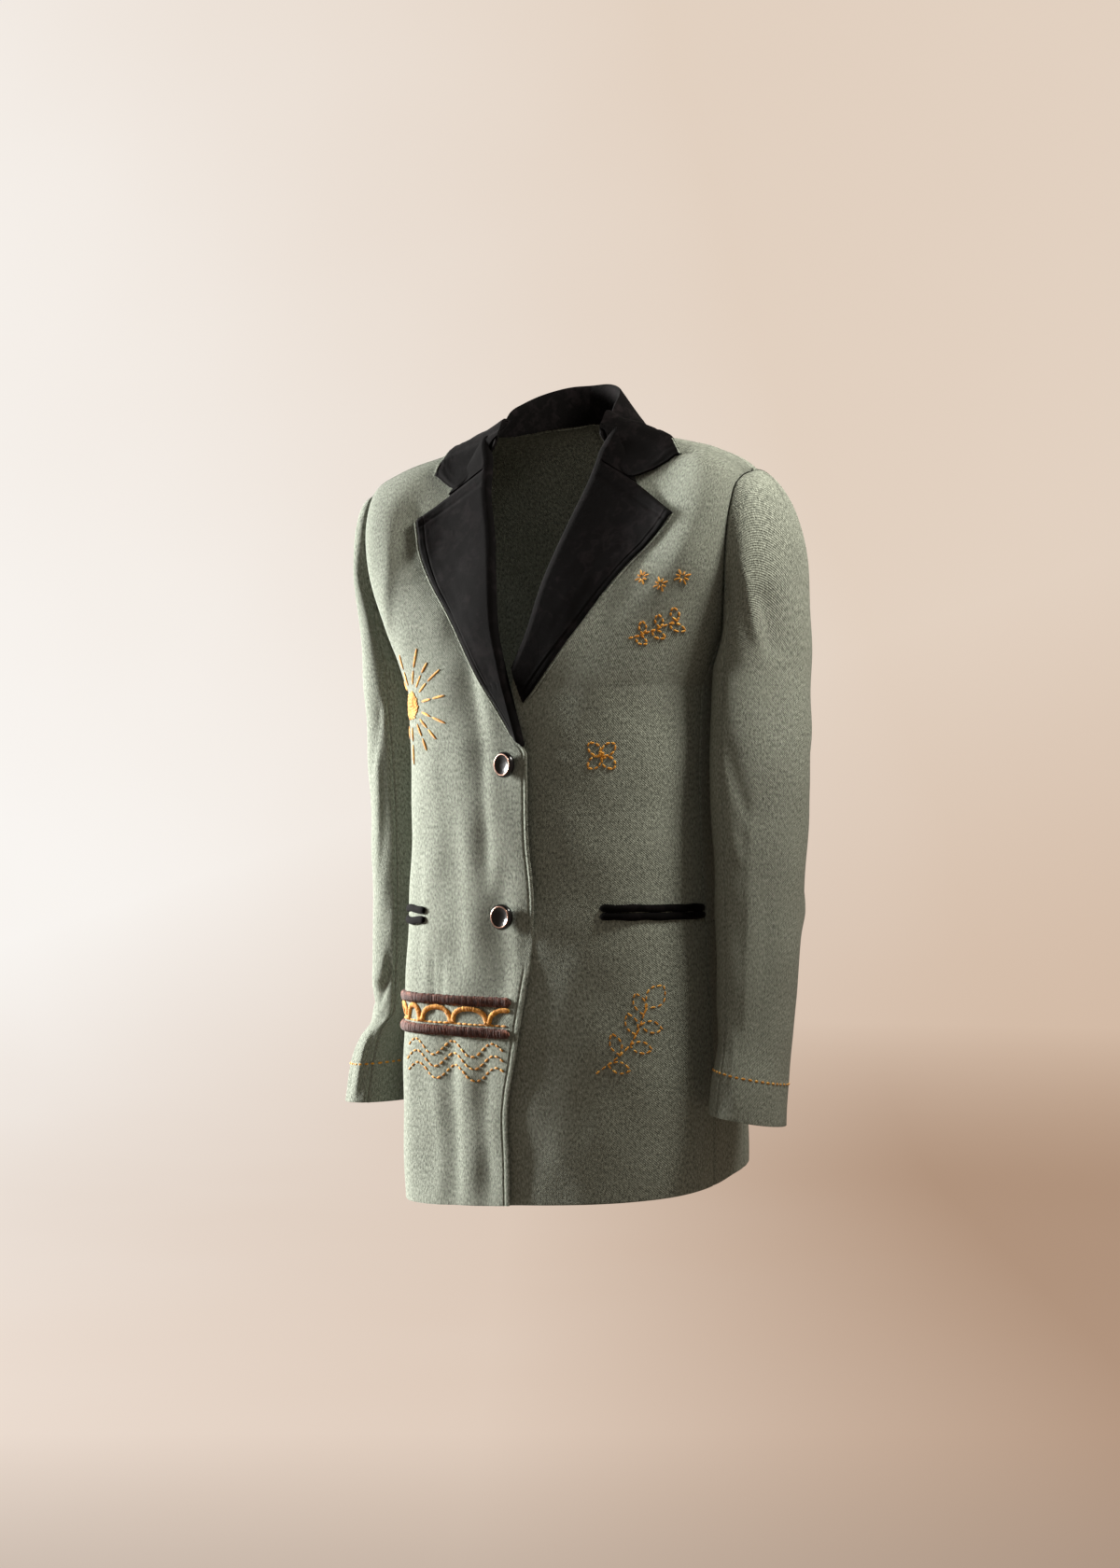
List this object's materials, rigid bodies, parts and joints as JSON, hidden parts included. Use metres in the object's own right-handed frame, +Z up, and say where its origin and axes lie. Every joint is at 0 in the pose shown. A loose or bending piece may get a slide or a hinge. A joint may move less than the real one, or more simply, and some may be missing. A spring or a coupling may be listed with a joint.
{
  "type": "embroidered blazer",
  "caption": "Long single-breasted wool blazer in a worn, hollow pose, with velvet collar, lapels and welt pockets and yarn embroidery.",
  "frame": {"origin": "between the two neck points of the shoulder seams, where a wearer's or a form's shoulders hold the garment", "axes": "+Z up along the garment, +X to the wearer's left, -Y to the front"},
  "size_m": [0.4835, 0.2656, 0.7772],
  "materials": {
    "wool": "grey-green melange wool twill with a short nap",
    "velvet": "black cotton velvet with a soft pile",
    "brown_yarn": "couched brown wool yarn",
    "gold_yarn": "gold-orange embroidery yarn",
    "button": "glossy black with a metal ring round the rim"
  },
  "bodies": {
    "root": {"front_right": "wool", "side_right": "wool", "back_right": "wool", "top_sleeve_right": "wool", "under_sleeve_right": "wool", "lapel_right": "velvet", "pocket_right_upper_welt": "velvet", "pocket_right_lower_welt": "velvet", "front_left": "wool", "side_left": "wool", "back_left": "wool", "top_sleeve_left": "wool", "under_sleeve_left": "wool", "lapel_left": "velvet", "pocket_left_upper_welt": "velvet", "pocket_left_lower_welt": "velvet", "collar": "velvet", "band_upper": "brown_yarn", "band_lower": "brown_yarn", "scallop_braid": "gold_yarn", "button_top": "button", "button_bottom": "button"}
  },
  "joints": []
}
